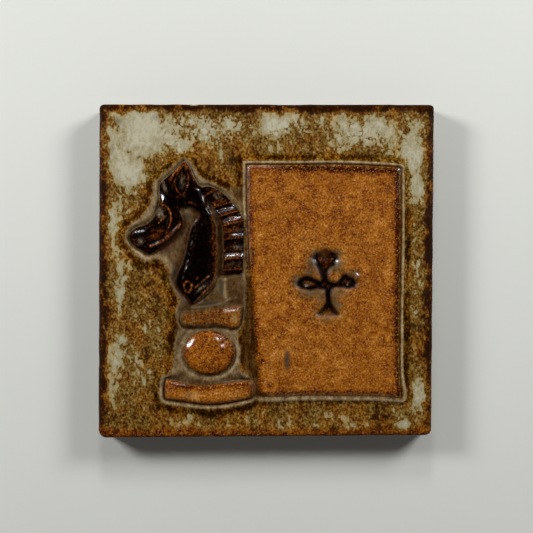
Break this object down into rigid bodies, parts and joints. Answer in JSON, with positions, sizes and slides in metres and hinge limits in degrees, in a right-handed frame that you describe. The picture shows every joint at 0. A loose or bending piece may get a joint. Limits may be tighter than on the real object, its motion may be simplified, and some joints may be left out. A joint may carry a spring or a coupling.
{
  "type": "carved relief tile",
  "caption": "Square glazed stoneware relief tile with a chess knight and a club playing card, for display or wall cladding.",
  "frame": {"origin": "middle of the flat back, which lies on the floor", "axes": "+Z out of the carved face, +Y towards the top of the picture, +X towards the playing card"},
  "size_m": [0.1008, 0.1002, 0.0115],
  "materials": {
    "glazed_stoneware": "mottled brown and cream reactive glaze, satin to glossy"
  },
  "bodies": {
    "root": {"carved_tile": "glazed_stoneware"}
  },
  "joints": []
}
